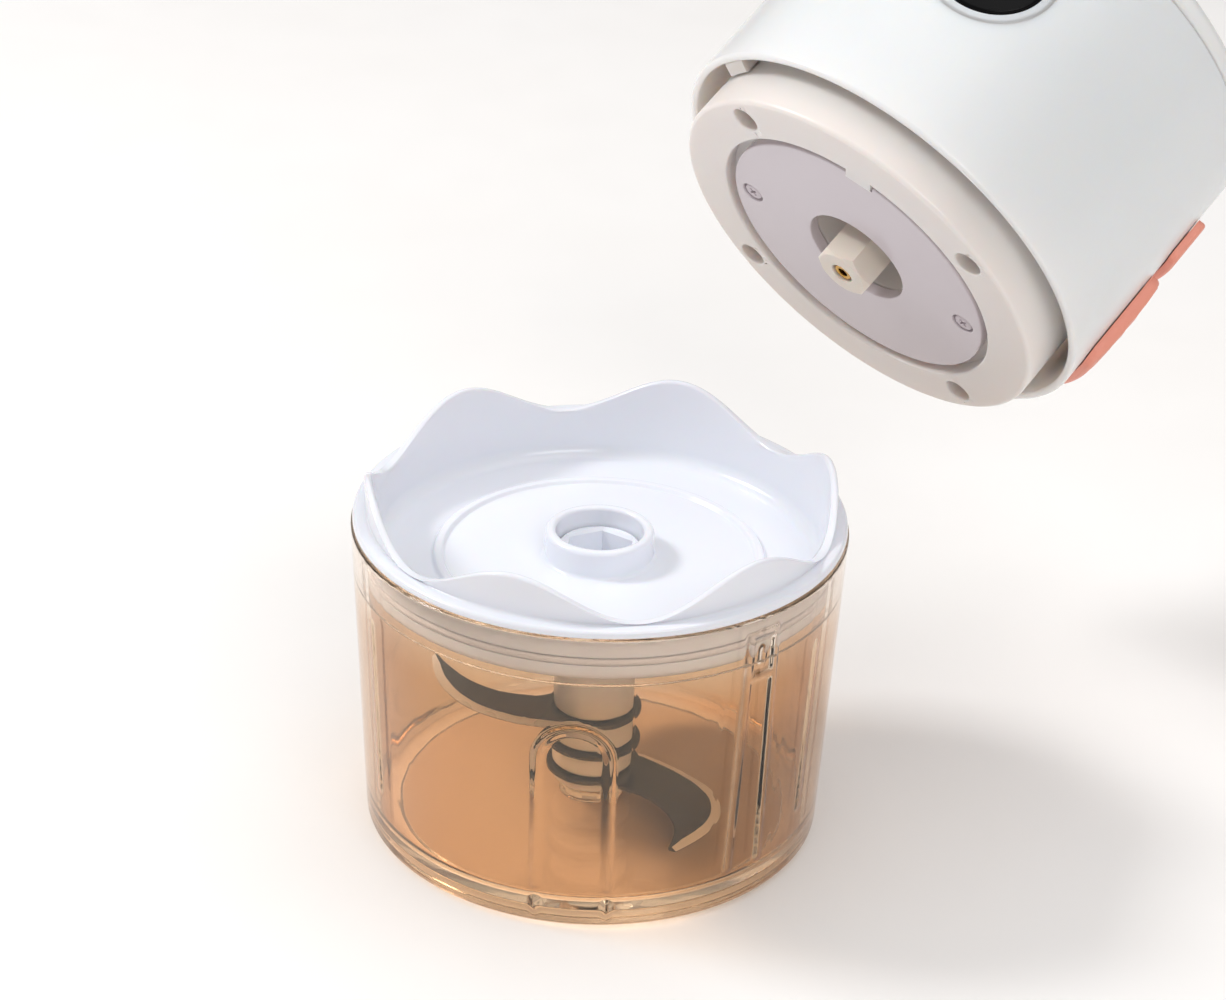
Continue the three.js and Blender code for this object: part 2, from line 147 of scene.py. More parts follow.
def skin(rows, around=True, closed=False):
    """Faces between rows of vertex numbers. A row that repeats one number is a point."""
    faces = []
    pairs = list(zip(rows, rows[1:]))
    if closed:
        pairs.append((rows[-1], rows[0]))
    for low, high in pairs:
        last = len(low) if around else len(low) - 1
        for i in range(last):
            j = (i + 1) % len(low)
            corners = list(dict.fromkeys([low[i], low[j], high[j], high[i]]))
            if len(corners) > 2:
                faces.append(corners)
    return faces


def evenly(count, turn=0.0):
    return [turn + TAU * i / count for i in range(count)]


def quarter(steps):
    """Angles over a quarter turn, both ends included."""
    return [math.pi / 2 * i / steps for i in range(steps + 1)]


def revolve(name, outline, azimuths=None, shift=None):
    """A turned solid. Its outline of (r, z) closes on itself, or starts and ends on the axis."""
    azimuths = azimuths or evenly(144)
    vertices, rows = [], []
    for r, z in outline:
        if r < 1e-6:
            rows.append([len(vertices)] * len(azimuths))
            vertices.append((0, 0, z))
            continue
        rows.append([])
        for azimuth in azimuths:
            at_r, at_z = shift(azimuth, r, z) if shift else (r, z)
            rows[-1].append(len(vertices))
            vertices.append((at_r * math.cos(azimuth), at_r * math.sin(azimuth), at_z))
    return mesh_object(name, vertices, skin(rows, closed=outline[0][0] > 1e-6))


def carve(piece, tools, operation="DIFFERENCE"):
    """Cuts the tools out of the piece, or joins or meets them with it, and deletes them."""
    for tool in tools:
        modifier = piece.modifiers.new(operation, "BOOLEAN")
        modifier.operation = operation
        modifier.solver = "EXACT"
        modifier.object = tool
    bpy.context.view_layer.update()
    result = piece.evaluated_get(bpy.context.evaluated_depsgraph_get())
    mesh = bpy.data.meshes.new_from_object(result)
    piece.modifiers.clear()
    piece.data = mesh
    for tool in tools:
        bpy.data.objects.remove(tool)
    return piece


def moved(piece, matrix):
    piece.data.transform(matrix)
    return piece


def at(piece, r, azimuth):
    """Moves a piece made on the axis out to a radius and azimuth."""
    angle = math.radians(azimuth)
    return moved(piece, Matrix.Translation((r * math.cos(angle), r * math.sin(angle), 0)))


def place(piece, group, body, look, slot, *nodes, crease=32):
    """Finishes a piece: its place in the frame, shading, look, body and the CAD nodes it stands for."""
    piece.data.transform(group)
    piece.data.shade_smooth()
    piece.data.set_sharp_from_angle(angle=math.radians(crease))
    weighted = piece.modifiers.new("even shading", "WEIGHTED_NORMAL")
    weighted.keep_sharp = True
    if not piece.data.materials[:]:
        piece.data.materials.append(look)
    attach(piece, body)
    if nodes:
        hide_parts(*nodes)
    return piece


# ---- Materials -----------------------------------------------------------------------------
def paint(code):
    """The linear colour of a six-digit sRGB code."""
    shares = [int(code[i : i + 2], 16) / 255 for i in (0, 2, 4)]
    return tuple(s / 12.92 if s <= 0.04045 else ((s + 0.055) / 1.055) ** 2.4 for s in shares) + (1,)


class Look:
    """A material of one Principled shader with procedural detail in object space, in metres."""

    def __init__(self, name, roughness=0.3, metallic=0.0, **settings):
        self.material = bpy.data.materials.new(name)
        self.material.use_nodes = True
        self.nodes = self.material.node_tree.nodes
        self.links = self.material.node_tree.links
        self.shader = self.nodes["Principled BSDF"]
        self.shader.inputs["Roughness"].default_value = roughness
        self.shader.inputs["Metallic"].default_value = metallic
        for socket, value in settings.items():
            self.shader.inputs[socket.replace("_", " ")].default_value = value
        self.where = self.nodes.new("ShaderNodeTexCoord").outputs["Object"]

    def node(self, kind, settings=(), **inputs):
        made = self.nodes.new(kind)
        for key, value in dict(settings).items():
            setattr(made, key, value)
        for key, value in inputs.items():
            self.feed(made.inputs[key.replace("_", " ")], value)
        return made

    def noise(self, scale, detail=3.0, stretch=(1, 1, 1)):
        spread = self.node("ShaderNodeMapping", Vector=self.where, Scale=stretch)
        made = self.node("ShaderNodeTexNoise", Vector=spread.outputs[0], Scale=scale, Detail=detail)
        return made.outputs["Fac"]

    def ranged(self, value, low, high, start=0.3, end=0.7):
        limits = {"From_Min": start, "From_Max": end, "To_Min": low, "To_Max": high}
        return self.node("ShaderNodeMapRange", Value=value, **limits).outputs[0]

    def feed(self, socket, value):
        if isinstance(value, bpy.types.NodeSocket):
            self.links.new(value, socket)
        else:
            socket.default_value = value

    def mixed(self, share, first, second):
        made = self.node("ShaderNodeMix", {"data_type": "RGBA"})
        self.feed(made.inputs[0], share)
        self.feed(made.inputs[6], first)
        self.feed(made.inputs[7], second)
        return made.outputs[2]

    def math(self, operation, first, second):
        made = self.node("ShaderNodeMath", {"operation": operation})
        self.feed(made.inputs[0], first)
        self.feed(made.inputs[1], second)
        return made.outputs[0]

    def colour(self, value, first, second, start=0.3, end=0.7):
        share = self.ranged(value, 0, 1, start, end)
        self.links.new(self.mixed(share, paint(first), paint(second)), self.shader.inputs["Base Color"])

    def rough(self, value, low, high):
        self.links.new(self.ranged(value, low, high), self.shader.inputs["Roughness"])

    def bump(self, value, distance, strength=1.0):
        made = self.node("ShaderNodeBump", Height=value, Distance=distance, Strength=strength)
        self.links.new(made.outputs[0], self.shader.inputs["Normal"])


def moulded(name, first, second, low, high, grain=2200, depth=0.00001, **settings):
    """Moulded plastic: faint clouds in its colour and gloss, over a fine grain."""
    look = Look(name, **settings)
    look.colour(look.noise(18), first, second)
    look.rough(look.noise(40, 2), low, high)
    look.bump(look.noise(grain, 2), depth)
    return look.material


def brushed(name, first, second, low, high, stretch, depth=0.00002, **settings):
    """Metal with fine lines along one direction."""
    look = Look(name, metallic=1.0, **settings)
    lines = look.noise(900, 4, stretch)
    look.colour(lines, first, second)
    look.rough(lines, low, high)
    look.bump(lines, depth)
    return look.material


def clear_plastic(name, first, second, deep, low, high):
    """Clear plastic, tinted but for its floor and its rim, with painted shade at grazing angles, that lets
    lamps light what is inside it.
    """
    look = Look(name, IOR=1.5, Transmission_Weight=1.0)
    height = look.node("ShaderNodeSeparateXYZ", Vector=look.where).outputs[2]
    level = look.node("ShaderNodeMapping", Vector=look.where, Scale=(1, 1, 0)).outputs[0]
    radius = look.node("ShaderNodeVectorMath", {"operation": "LENGTH"}, Vector=level).outputs["Value"]
    near_rim = look.ranged(height, 0, 1, low, high)
    near_floor = look.ranged(height, 1, 0, (FLOOR_TOP + 0.6) * MM, (FLOOR_TOP + 5) * MM)
    inside = look.ranged(radius, 1, 0, (FOOT_R - 6) * MM, (FOOT_R - 3) * MM)
    paler = look.math("MAXIMUM", near_rim, look.math("MULTIPLY", near_floor, inside))
    tint = look.mixed(paler, paint(first), paint(second))
    # Painted shade: towards grazing angles the colour turns to the deep one, standing in for the dark
    # surroundings that the walls refract.
    grazing = look.node("ShaderNodeLayerWeight", Blend=0.5).outputs["Facing"]
    edge = look.math("MULTIPLY", look.ranged(grazing, 0, 0.9, 0.25, 0.8), look.ranged(paler, 1, 0.3, 0, 1))
    look.links.new(look.mixed(edge, tint, paint(deep)), look.shader.inputs["Base Color"])
    look.rough(look.noise(90, 3), 0.012, 0.035)
    look.bump(look.noise(70, 2), 0.00005)
    path = look.node("ShaderNodeLightPath")
    through = look.node("ShaderNodeBsdfTransparent", Color=[math.sqrt(share) for share in paint(second)])
    chosen = look.node("ShaderNodeMixShader", Fac=path.outputs["Is Shadow Ray"])
    look.links.new(look.shader.outputs[0], chosen.inputs[1])
    look.links.new(through.outputs[0], chosen.inputs[2])
    look.links.new(chosen.outputs[0], look.nodes["Material Output"].inputs[0])
    return look.material


WARM_DEPTH = (1.0, 0.72, 0.55)
# Painted light: lid_white and head_white are one white plastic in two tints. The lid's is cooler and darker
# for its bluish shade, and the head's is warmer for warm bounce light.
lid_white = moulded("lid_white", "e8ebf3", "eaedf4", 0.17, 0.2, Subsurface_Weight=0.12,
                    Subsurface_Scale=0.002)
head_white = moulded("head_white", "f2f0ee", "f3f1ef", 0.24, 0.27, Subsurface_Weight=0.6,
                     Subsurface_Scale=0.008, Subsurface_Radius=WARM_DEPTH)
# Painted light: the flange's plastic is a darker, warmer copy of the head's white, standing in for the warm
# bounce light and shade on its face and in its gap.
flange_bounce_white = moulded("flange_bounce_white", "ebe4e0", "ede7e3", 0.28, 0.33, Subsurface_Weight=0.5,
                       Subsurface_Scale=0.004, Subsurface_Radius=WARM_DEPTH)
disc_grey = moulded("disc_grey", "d6cdd2", "d9d1d6", 0.05, 0.09)
nylon = moulded("nylon", "e6dccf", "e9e0d4", 0.3, 0.35, Subsurface_Weight=0.25, Subsurface_Scale=0.002)
# The third colour is the painted shade at the bowl's grazing edges.
amber = clear_plastic("amber_clear", "e9caa5", "f5e9dc", "b58764", 0.058, 0.07)
rubber = moulded("rubber", "dcd6cf", "e2dcd6", 0.55, 0.65, grain=3000, depth=0.00003)
seal_white = moulded("seal_white", "e4e2e6", "e8e6ea", 0.4, 0.5, grain=3000, depth=0.00002)
coral = moulded("coral_rubber", "ee9a86", "f0a08c", 0.45, 0.52, grain=3000, depth=0.00002)
black_gloss = moulded("black_gloss", "040405", "07070a", 0.22, 0.28, Specular_IOR_Level=0.12)
black_matt = moulded("black_matt", "161616", "1f1f20", 0.45, 0.6, grain=1800, depth=0.00003)
board_green = moulded("board_green", "1b5232", "24613c", 0.35, 0.5, grain=900, depth=0.00003)
cell_blue = moulded("cell_blue", "36639c", "3f6fa8", 0.25, 0.35)
# Painted reflection: the blade steel is dark for the dark reflections on the blades' faces. The ground bevels
# are near white, a painted highlight of the key lamp over their real, rougher ground finish.
blade_steel = brushed("blade_steel", "4c5150", "5f6463", 0.12, 0.18, (1, 14, 1), depth=0.000004)
ground_steel_highlight = moulded("ground_steel_highlight", "f3f3f4", "fafafa", 0.25, 0.35, grain=3000, Metallic=0.35)
can_steel = brushed("can_steel", "a9abad", "c3c5c7", 0.28, 0.4, (1, 1, 12))
screw_steel = brushed("screw_steel", "9b9da0", "b4b6b8", 0.25, 0.35, (6, 1, 1))
coated_steel = moulded("coated_steel", "c9bdc4", "cfc5ca", 0.25, 0.32)
brass = brushed("brass", "b98a35", "d7aa55", 0.18, 0.3, (1, 1, 8))
windings = brushed("windings", "7c3f1d", "c07a48", 0.25, 0.45, (1, 1, 0.1))

# ---- Bowl ----------------------------------------------------------------------------------
RIB_WIDTH = 1.6
RIB_HEIGHT = 0.6
FAINT_RIB_HEIGHT = 0.22
RIB_LOW, RIB_HIGH = 12.0, 74.0
ARCH, ARCH_HALF, ARCH_TOP = -94, 8.2, 54.8
PAIR = -50


def arch_stroke(half, top, foot):
    """An upside-down U of that half width, as (across, up) points."""
    angles = [math.pi * i / 14 for i in range(15)]
    bend = [(half * math.cos(a), top - half + half * math.sin(a)) for a in angles]
    return [(half, foot), *bend, (-half, foot)]


# The raised lines on the bowl's outside: the azimuth they are drawn about, how far they stand out,
# and a line of (across, up).
STROKES = [
    (ARCH, RIB_HEIGHT, arch_stroke(ARCH_HALF, ARCH_TOP, RIB_LOW)),
    (ARCH, RIB_HEIGHT, [(ARCH_HALF, 5.6), (ARCH_HALF, 7.6)]),
    (ARCH, RIB_HEIGHT, [(-ARCH_HALF, 5.6), (-ARCH_HALF, 7.6)]),
    (PAIR, RIB_HEIGHT, [(-4.6, RIB_LOW), (-3.6, RIB_HIGH)]),
    (PAIR, RIB_HEIGHT, [(4.6, RIB_LOW), (3.6, RIB_HIGH)]),
    (PAIR, RIB_HEIGHT, [(-3.8, 63.0), (3.8, 63.0)]),
    (PAIR, RIB_HEIGHT, [(-3.8, RIB_HIGH), (3.8, RIB_HIGH)]),
    (PAIR, RIB_HEIGHT, [(0, 66.5), (0, 70.0)]),
    (-29, FAINT_RIB_HEIGHT, [(0, RIB_LOW + 6), (0, RIB_HIGH - 12)]),
    (-153, FAINT_RIB_HEIGHT, [(0, RIB_LOW + 6), (0, RIB_HIGH - 12)]),
]


def to_stroke(point, line):
    """Distance from a point to the nearest part of a line of points."""
    nearest = math.inf
    for start, end in zip(line, line[1:]):
        run = Vector(end) - Vector(start)
        share = max(0.0, min(1.0, (point - Vector(start)).dot(run) / run.length_squared))
        nearest = min(nearest, (point - Vector(start) - run * share).length)
    return nearest


def bowl_azimuths():
    """Fine columns near the raised lines and coarse ones between."""
    near = {}
    for centre, _, line in STROKES:
        near[centre] = max([near.get(centre, 0)] + [abs(across) + 2 for across, _ in line])
    columns, azimuth = [], -180.0
    while azimuth < 180 - 0.2:
        columns.append(math.radians(azimuth))
        fine = any(abs(azimuth - centre) < span + 3 for centre, span in near.items())
        azimuth += 0.36 if fine else 3.0
    return columns


def bowl_shift(azimuth, r, z):
    """Pushes the outer wall out along the raised lines."""
    wall_r = rim_r - (rim_z - z) * (rim_r - FOOT_R) / rim_z
    on_wall = 3 <= z <= RIB_HIGH + 2 and r >= max(FOOT_R - 0.3, wall_r - 0.4)
    if not on_wall:
        return r, z
    height = 0.0
    for centre, tall, line in STROKES:
        across = math.remainder(azimuth - math.radians(centre), TAU) * r
        if abs(across) > 12:
            continue
        away = to_stroke(Vector((across, z)), line) / RIB_WIDTH
        if away < 1:
            height = max(height, tall * (1 - away * away) ** 1.5)
    return r + height, z


def make_bowl():
    """The clear bowl, from the middle of its underside, up its outside and down its inside."""
    wall_foot = FOOT_R + 0.2
    wall_top = rim_z - 1.2
    lower = rounded([
        (0, pad_top + GAP, 0), (pad_r + GAP, pad_top + GAP, 0.4), (pad_r + GAP, foot_z, 0.5),
        (FOOT_R, foot_z, 3.6), (wall_foot, WALL_LOW, 0),
    ], closed=False)
    rows = 118
    wall = [(wall_foot + (rim_r - wall_foot) * i / rows, WALL_LOW + (wall_top - WALL_LOW) * i / rows)
            for i in range(1, rows + 1)]
    upper = rounded([
        (rim_r, wall_top, 0), (rim_r, rim_z, 0.9), (rim_r - WALL, rim_z, 0.7),
        (rim_r - WALL - 0.45, LEDGE_Z + 0.5, 0.5), (rim_r - WALL - 1.3, LEDGE_Z, 0.5),
        (FOOT_R - WALL, FLOOR_TOP, FLOOR_ROUND), (BOSS_R, FLOOR_TOP, 0.8), (BOSS_R, BOSS_TOP, 0.5),
        (pin_r + GAP, BOSS_TOP, 0.3), (pin_r + GAP, PIN_SEAT, 0), (0, PIN_SEAT, 0),
    ], closed=False)
    bowl = revolve("bowl_clear", lower + wall + upper[1:], bowl_azimuths(), bowl_shift)
    place(bowl, BOWL, "bowl", amber, "clear_bowl", "bowl", crease=50)


def make_base():
    """The silicone pad, with round grooves in its underside, and the pin that the blades turn on."""
    grooves = []
    for i in range(9):
        r = 8.0 + 4.0 * i
        grooves += [(r, pad_under, 0.2), (r + 0.3, pad_under + 0.5, 0.2),
                    (r + 1.1, pad_under + 0.5, 0.2), (r + 1.4, pad_under, 0.2)]
    outline = rounded([
        (0, pad_under, 0), *grooves, (pad_r, pad_under, 0.5), (pad_r, pad_top, 0.3), (0, pad_top, 0),
    ], closed=False, steps=3)
    place(revolve("base_pad_grooved", outline), BOWL, "bowl", rubber, "silicone", "base_pad")
    pin = rounded([
        (0, pin_foot, 0), (pin_r, pin_foot, 0), (pin_r, pin_top, 0.9), (0, pin_top, 0),
    ], closed=False)
    post = revolve("pin_post", pin, evenly(48))
    place(post, BOWL, "bowl", blade_steel, "blade_steel", "blade_pin")


# ---- Lid -----------------------------------------------------------------------------------
BRIM_TOP = 80.2
PAN_Z = 68.2
WELL_R = 52.5
COLLAR_WALL = 1.8
GROOVE_DEPTH = 0.9
PETALS = 6
PETAL_AZIMUTH = math.radians(10)
TROUGH_RISE = 0.4
FLARE = 0.7
RING_R, RING_BORE, RING_TOP = 12.8, 10.3, 75.4
RIDGE_R, RIDGE_TOP = 37.7, 69.4


def waves(azimuth, r, z):
    """Squeezes what stands above the brim so that the collar's edge runs in even waves."""
    above = z - BRIM_TOP
    if above <= 0.01:
        return r, z
    full = petal_tip - BRIM_TOP
    wave = 0.5 + 0.5 * math.cos(PETALS * (azimuth - PETAL_AZIMUTH))
    return r, BRIM_TOP + above * (TROUGH_RISE + (full - TROUGH_RISE) * wave) / full


def make_lid():
    """The lid with its wavy collar and centre ring, and the gasket in its groove."""
    outer = WELL_R + COLLAR_WALL
    groove_r = outer - GROOVE_DEPTH
    middle_z = (gasket_low + gasket_high) / 2
    outline = rounded([
        (RING_BORE, pan_under, 0.5), (outer, pan_under, 2.2), (outer, middle_z - 1, 0.2),
        (groove_r, middle_z - 1, 0.2), (groove_r, middle_z + 1, 0.2), (outer, middle_z + 1, 0.2),
        (outer, rim_z + GAP, 0.2), (brim_r, rim_z + GAP, 0.5),
        (brim_r, BRIM_TOP, 1.4), (outer, BRIM_TOP, 0.9),
        (outer + FLARE, petal_tip, 0.85), (WELL_R + FLARE, petal_tip, 0.85),
        (WELL_R, BRIM_TOP, 0), (WELL_R, PAN_Z, 3.4),
        (RIDGE_R + 1.5, PAN_Z, 0.8), (RIDGE_R + 0.8, RIDGE_TOP, 0.7), (RIDGE_R - 0.8, RIDGE_TOP, 0.7),
        (RIDGE_R - 1.5, PAN_Z + 0.3, 0.6), (RING_R, PAN_Z + 0.3, 1.0), (RING_R, RING_TOP, 1.3),
        (RING_BORE, RING_TOP, 0.9),
    ])
    lid = revolve("lid_moulding", outline, evenly(360), waves)
    place(lid, BOWL, "lid", lid_white, "white_plastic", "lid", crease=60)
    lip = rounded([
        (gasket_r - 1, gasket_low, 0.2), (gasket_r - 0.2, gasket_low, 0.25), (gasket_r, middle_z, 0.2),
        (gasket_r - 0.2, gasket_high, 0.25), (gasket_r - 1, gasket_high, 0.2),
    ])
    place(revolve("gasket_ring", lip), BOWL, "lid", seal_white, "silicone", "lid_gasket")


# ---- Blades --------------------------------------------------------------------------------
BLADE_TIP, BLADE_HEEL = (38.8, -6.5), (37.3, -7.5)
BLADE_THICK = 1.2
BEVEL = 2.8
HUB_CORE_R = 7.0
HUB_FOOT_RISE = 2.4
SOCKET_SLACK = 0.45
SOCKET_FLOOR = 1.8
HEX_TURN = math.radians(26)


def bezier(a, b, c, d, t):
    s = 1 - t
    return Vector(a) * s**3 + Vector(b) * 3 * s * s * t + Vector(c) * 3 * s * t * t + Vector(d) * t**3


def wing(name, base, azimuth, rise):
    """A crescent blade, ground to a bevel on its convex edge, on the ring that threads over the hub."""
    root_r = sleeve_r + 0.4
    reach_r = Vector(BLADE_TIP).length

    def on_root(degrees):
        return root_r * math.cos(math.radians(degrees)), root_r * math.sin(math.radians(degrees))

    vertices, rows = [], []
    steps = 44
    for i in range(steps + 1):
        t = i / steps
        edge = bezier(on_root(85), (15, 18), (38, 25), BLADE_TIP, t)
        spine = bezier(on_root(-50), (16, 2), (30, 6), BLADE_HEEL, t)
        chord = (edge - spine).length
        back = 0.25 / chord
        ground = max(0.45, 1 - BEVEL / chord)
        top = BLADE_THICK
        section = [(0, 0.2), (0, top - 0.2), (back, top), (0.5 * ground, top), (ground, top),
                   (1, 0.22), (1, 0.06), (ground, 0), (0.5 * ground, 0), (back, 0)]
        rows.append([])
        for share, z in section:
            spot = spine.lerp(edge, share)
            lift = rise * max(0, spot.length - root_r) / (reach_r - root_r)
            rows[-1].append(len(vertices))
            vertices.append((spot.x, spot.y, z + lift))
    faces = skin(rows) + [rows[0], rows[-1]]
    blade = mesh_object(name, vertices, faces)
    blade.data.materials.append(blade_steel)
    blade.data.materials.append(ground_steel_highlight)
    # The bevel faces take the material with the painted highlight.
    for face in blade.data.polygons:
        face.material_index = int({corner % len(section) for corner in face.vertices} == {4, 5})
    ring = rounded([
        (HUB_CORE_R + GAP, 0, 0.15), (root_r + 1, 0, 0.3), (root_r + 1, BLADE_THICK, 0.3),
        (HUB_CORE_R + GAP, BLADE_THICK, 0.15),
    ], steps=3)
    carve(blade, [revolve("ring", ring, evenly(72))], "UNION")
    return moved(blade, Matrix.Translation((0, 0, base)) @ Matrix.Rotation(math.radians(azimuth), 4, "Z"))


def make_blades():
    """Three blades threaded over a hub between sleeves, with the hexagonal drive cup on top."""
    plates = (("lower_blade", 310, -3), ("middle_blade", 70, 3), ("upper_blade", 187, 11))
    for node, azimuth, rise in plates:
        low = min(vertex.co.z for vertex in frame["nodes"][node].data.vertices) / MM
        blade = wing(node + "_ground", low - min(rise, 0), azimuth, rise)
        place(blade, BOWL, "blades", blade_steel, "blade_steel", node, crease=20)
    core_clear = HUB_CORE_R + GAP
    for node in ("lower_spacer", "middle_spacer", "upper_sleeve"):
        r, low, high = reach(node, BOWL)
        tube = rounded([(core_clear, low, 0.3), (r, low, 0.9), (r, high, 0.5), (core_clear, high, 0.3)])
        sleeve = revolve(node + "_turned", tube, evenly(72))
        place(sleeve, BOWL, "blades", lid_white, "white_plastic", node)
    hub_r, hub_foot, hub_top = reach("blade_hub", BOWL)
    foot_top = hub_foot + HUB_FOOT_RISE
    bore = pin_r + 0.4
    core = rounded([
        (bore, hub_foot, 0.4), (hub_r, hub_foot, 0.8), (hub_r, foot_top, 0.3),
        (HUB_CORE_R, foot_top, 0.2), (HUB_CORE_R, hub_top, 0.5), (0, hub_top, 0),
        (0, pin_top + 1, 0), (bore, pin_top + 1, 0),
    ], closed=False)
    hub = revolve("hub_core", core, evenly(72))
    place(hub, BOWL, "blades", lid_white, "white_plastic", "blade_hub")
    cup = rounded([
        (0, socket_foot, 0), (sleeve_r, socket_foot, 0.5), (sleeve_r, socket_top, 0.9),
        (0, socket_top, 0),
    ], closed=False)
    hole_r = hex_r + SOCKET_SLACK
    hole_floor = socket_foot + SOCKET_FLOOR
    over = socket_top + 0.4
    hole = [(0, hole_floor), (hole_r, hole_floor), (hole_r, socket_top - 0.8), (hole_r + 1.2, over),
            (0, over)]
    socket = revolve("drive_cup", cup, evenly(72))
    carve(socket, [revolve("hexagon", hole, evenly(6, HEX_TURN))])
    place(socket, BOWL, "blades", lid_white, "white_plastic", "drive_socket")


# ---- Motor head ----------------------------------------------------------------------------
SHELL_WALL = 2.1
COVER_WALL = 1.8
COVER_STRAIGHT = 2.0
PLATE = 2.0
FLANGE_R = 52.0
FLANGE_DEPTH = 6.0
HOUSING_WALL = 1.8
RECESS_R = 39.8
RECESS_DEPTH = 4.0
WELL_BORE = 14.2
WELL_DEPTH = 14.0
SHAFT_DOOR_R = 5.5
GAP_CEILING = 36.0
CEILING_R = 56.1
FLANGE_SCREWS = (22, 112, 202, 292)
DISC_SCREWS = (154, 334)
FLANGE_SCREW_R, DISC_SCREW_R = 46.0, 32.0
SINK_R, SINK_DEPTH = 3.5, 4.8
POCKET_R, POCKET_DEPTH = 3.0, 2.1
SCREW_HOLE_R = 1.75
KEY_AZIMUTH = -112
KEY_TAB = (4.4, 7, 1.6)
KEY_NOTCH = (5, 7.8, 6)
NECK_R, NECK_LOW = 6.9, 8.0
HEX_BORE = 2.75
BUSH_BORE = 1.3
BUTTON = {"azimuth": -114.6, "height": 56.0, "r": 13.7}
BUTTON_RISE = 0.4
BEZEL_R = 15.6
PORT = {"azimuth": -2.0, "height": 58.0}
PAD_WIDTH = 25
SLIDER = {"azimuth": -166.0, "width": 8.0}


def round_bar(name, r, low, high, count):
    """A plain bar on the axis, to cut a hole with or to join on."""
    return revolve(name, [(0, low), (r, low), (r, high), (0, high)], evenly(count))


def sideways(piece, azimuth, height):
    """Lays a piece made on the axis along the outward direction at an azimuth and height."""
    turn = Matrix.Rotation(math.radians(azimuth), 4, "Z") @ Matrix.Rotation(math.radians(90), 4, "Y")
    return moved(piece, Matrix.Translation((0, 0, height)) @ turn)


def make_shell():
    """The barrel, open for the button and the port, and the domed cover over it."""
    inner = skirt_r - SHELL_WALL
    wall = rounded([
        (inner, lip_z, 0.8), (skirt_r, lip_z, 1.1), (skirt_r, shell_top, 0.5), (inner, shell_top, 0.2),
    ])
    shell = revolve("barrel_moulding", wall, evenly(240))
    bar = round_bar("bore", BEZEL_R + GAP, 40, 70, 96)
    hole = sideways(bar, BUTTON["azimuth"], BUTTON["height"])
    slot = port_slot("slot", width=9.6, height=4.0, corner=2.0, start=50, end=66)
    carve(shell, [hole, slot])
    place(shell, HEAD, "motor_head", head_white, "white_plastic", "barrel_shell", crease=50)

    base = shell_top + COVER_STRAIGHT
    rise = cover_top - base
    spigot = inner - GAP
    under_r = spigot - COVER_WALL
    seam = shell_top + GAP
    crown = [(skirt_r * math.cos(a), base + rise * math.sin(a)) for a in quarter(20)]
    under = [(under_r * math.cos(a), base + (rise - PLATE) * math.sin(a)) for a in quarter(12)]
    outline = [
        (0, under[-1][1]), *under[-2::-1], (under_r, cover_foot), (spigot, cover_foot),
        (spigot, seam), (skirt_r - 0.5, seam), (skirt_r, seam + 0.5), *crown[:-1], (0, cover_top),
    ]
    cover = revolve("top_moulding", outline, evenly(240))
    place(cover, HEAD, "motor_head", head_white, "white_plastic", "top_cover", crease=50)


def port_slot(name, width, height, corner, start, end):
    """A bar of rounded section along the port's outward direction, from one radius to another."""
    section = rounded([
        (-width / 2, -height / 2, corner), (width / 2, -height / 2, corner),
        (width / 2, height / 2, corner), (-width / 2, height / 2, corner),
    ])
    count = len(section)
    vertices = [(start, y, z) for y, z in section] + [(end, y, z) for y, z in section]
    rows = [list(range(count)), list(range(count, 2 * count))]
    bar = mesh_object(name, vertices, skin(rows) + rows)
    turn = Matrix.Rotation(math.radians(PORT["azimuth"]), 4, "Z")
    return moved(bar, Matrix.Translation((0, 0, PORT["height"])) @ turn)


def block(name, size, centre, azimuth, height):
    """A box whose first size points outward at an azimuth and height of the head."""
    half = Vector(size) / 2
    corners = [(centre + x * half.x, y * half.y, z * half.z)
               for x in (-1, 1) for y in (-1, 1) for z in (-1, 1)]
    faces = [(0, 1, 3, 2), (4, 6, 7, 5), (0, 4, 5, 1), (2, 3, 7, 6), (0, 2, 6, 4), (1, 5, 7, 3)]
    turn = Matrix.Rotation(math.radians(azimuth), 4, "Z")
    return moved(mesh_object(name, corners, faces), Matrix.Translation((0, 0, height)) @ turn)


def flared_hole(name, r, deep, flare, face=0.0):
    """A round cutter whose mouth at the face flares out, so that it leaves a rounded edge."""
    mouth = [(r + flare * (1 - math.sin(a)), face + flare * (1 - math.cos(a))) for a in quarter(5)]
    outline = [(0, face - 2), (r + flare, face - 2), *mouth, (r, deep), (0, deep)]
    return revolve(name, outline, evenly(48))


